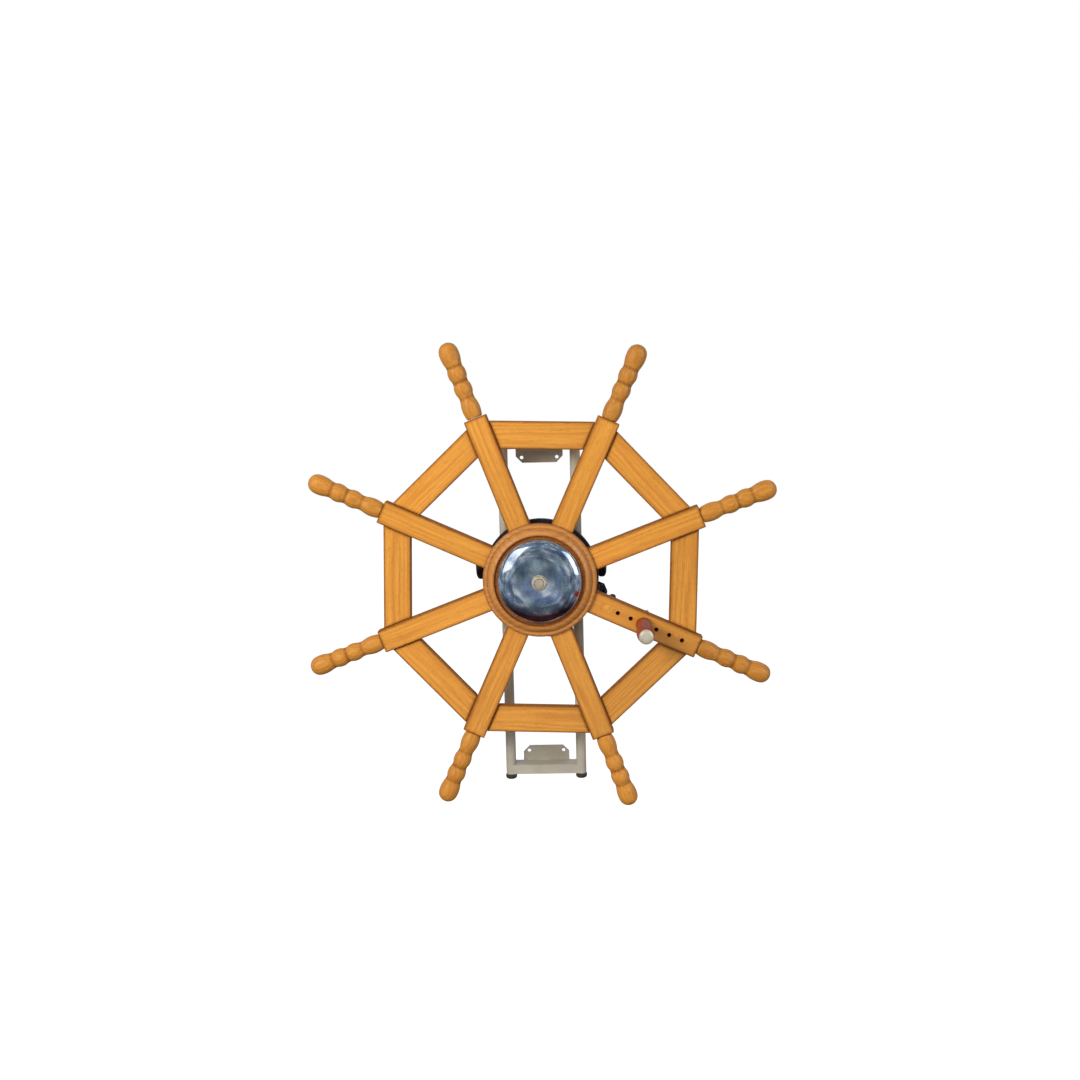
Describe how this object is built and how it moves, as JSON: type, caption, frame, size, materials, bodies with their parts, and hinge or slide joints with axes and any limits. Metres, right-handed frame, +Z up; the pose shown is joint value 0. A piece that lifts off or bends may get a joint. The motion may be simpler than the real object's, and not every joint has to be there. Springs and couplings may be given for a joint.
{
  "type": "wall mounted ship's wheel",
  "caption": "Spoked wooden ship's wheel with turned handles, on a braked hub that slides up and down a two-tube wall frame, with a movable hand grip.",
  "frame": {"origin": "centre of the upper wall plate's back face, on the wall", "axes": "+X to the right seen from the front, +Y into the wall, +Z up; the wheel faces -Y and turns about an axis along Y"},
  "size_m": [0.8602, 0.247, 0.8602],
  "materials": {
    "spoke_wood": "satin varnish",
    "ring_wood": "gloss varnish",
    "grip_wood": "satin varnish",
    "dome_chrome": "polished",
    "plated_steel": "bright zinc",
    "frame_paint": "semi-gloss",
    "black_paint": "semi-gloss",
    "black_plastic": "fine texture",
    "blue_plastic": "moulded",
    "bronze": "machined",
    "lining": "matte",
    "rubber": "matte"
  },
  "bodies": {
    "wall_frame": {"upper_wall_bracket": "frame_paint", "lower_wall_bracket": "frame_paint", "left_guide_tube": "frame_paint", "left_upper_plug": "black_plastic", "left_lower_plug": "black_plastic", "right_guide_tube": "frame_paint", "right_upper_plug": "black_plastic", "right_lower_plug": "black_plastic"},
    "carriage": {"carriage_plate": "black_paint", "left_sleeve": "black_paint", "right_sleeve": "black_paint", "bearing_housing": "black_paint", "rear_bush": "bronze", "front_bush": "bronze", "bump_stop": "rubber", "brake_bracket": "black_paint"},
    "left_pad": {"left_lock_pad": "bronze"},
    "left_knob": {"left_lock_knob": "black_plastic"},
    "right_pad": {"right_lock_pad": "bronze"},
    "right_knob": {"right_lock_knob": "black_plastic"},
    "brake_shoe": {"brake_shoe": "black_paint", "brake_lining": "lining"},
    "brake_knob": {"brake_knob": "blue_plastic"},
    "wheel": {"spoke_1": "spoke_wood", "spoke_2": "spoke_wood", "spoke_3": "spoke_wood", "spoke_4": "spoke_wood", "spoke_5": "spoke_wood", "spoke_6": "spoke_wood", "spoke_7": "spoke_wood", "spoke_8": "spoke_wood", "handle_1": "spoke_wood", "handle_2": "spoke_wood", "handle_3": "spoke_wood", "handle_4": "spoke_wood", "handle_5": "spoke_wood", "handle_6": "spoke_wood", "handle_7": "spoke_wood", "handle_8": "spoke_wood", "rim_board_1": "spoke_wood", "rim_board_2": "spoke_wood", "rim_board_3": "spoke_wood", "rim_board_4": "spoke_wood", "rim_board_5": "spoke_wood", "rim_board_6": "spoke_wood", "rim_board_7": "spoke_wood", "rim_board_8": "spoke_wood", "hub_core": "spoke_wood", "hub_front_ring": "ring_wood", "hub_rear_disc": "spoke_wood", "brake_drum": "black_paint", "spindle": "plated_steel", "spindle_rear_nut": "plated_steel", "hub_clamp_washer": "plated_steel", "hub_clamp_nut": "plated_steel", "hub_dome": "dome_chrome", "dome_nut": "plated_steel", "grip_bolt": "plated_steel", "grip_wing_nut": "plated_steel"},
    "grip": {"hand_grip": "grip_wood"}
  },
  "joints": [
    {"name": "carriage_height", "type": "slide", "parent": "wall_frame", "child": "carriage", "axis": [0, 0, 1], "range_m": [-0.245, 0.165]},
    {"name": "wheel_spin", "type": "hinge", "parent": "carriage", "child": "wheel", "pos_m": [0, -0.1, -0.229], "axis": [0, -1, 0], "continuous": true},
    {"name": "grip_spin", "type": "hinge", "parent": "wheel", "child": "grip", "pos_m": [0.18636, -0.15, -0.31393], "axis": [0, -1, 0], "continuous": true},
    {"name": "brake_press", "type": "slide", "parent": "carriage", "child": "brake_shoe", "axis": [0.9239, 0, -0.3827], "range_m": [0, 0.00225]},
    {"name": "brake_turn", "type": "hinge", "parent": "brake_shoe", "child": "brake_knob", "pos_m": [0.1201, -0.065, -0.27875], "axis": [0.9239, 0, -0.3827], "range_deg": [0, 550]},
    {"name": "left_lock_press", "type": "slide", "parent": "carriage", "child": "left_pad", "axis": [-1, 0, 0], "range_m": [0, 0.00187]},
    {"name": "left_lock_turn", "type": "hinge", "parent": "left_pad", "child": "left_knob", "pos_m": [-0.1, -0.032, -0.21], "axis": [-1, 0, 0], "range_deg": [0, 550]},
    {"name": "right_lock_press", "type": "slide", "parent": "carriage", "child": "right_pad", "axis": [1, 0, 0], "range_m": [0, 0.00187]},
    {"name": "right_lock_turn", "type": "hinge", "parent": "right_pad", "child": "right_knob", "pos_m": [0.1, -0.032, -0.21], "axis": [1, 0, 0], "range_deg": [0, 550]}
  ],
  "couplings": [
    {"joint": "brake_turn", "follows": "brake_press", "rad_per_m": 4188.8},
    {"joint": "left_lock_turn", "follows": "left_lock_press", "rad_per_m": 5026.5},
    {"joint": "right_lock_turn", "follows": "right_lock_press", "rad_per_m": 5026.5}
  ]
}
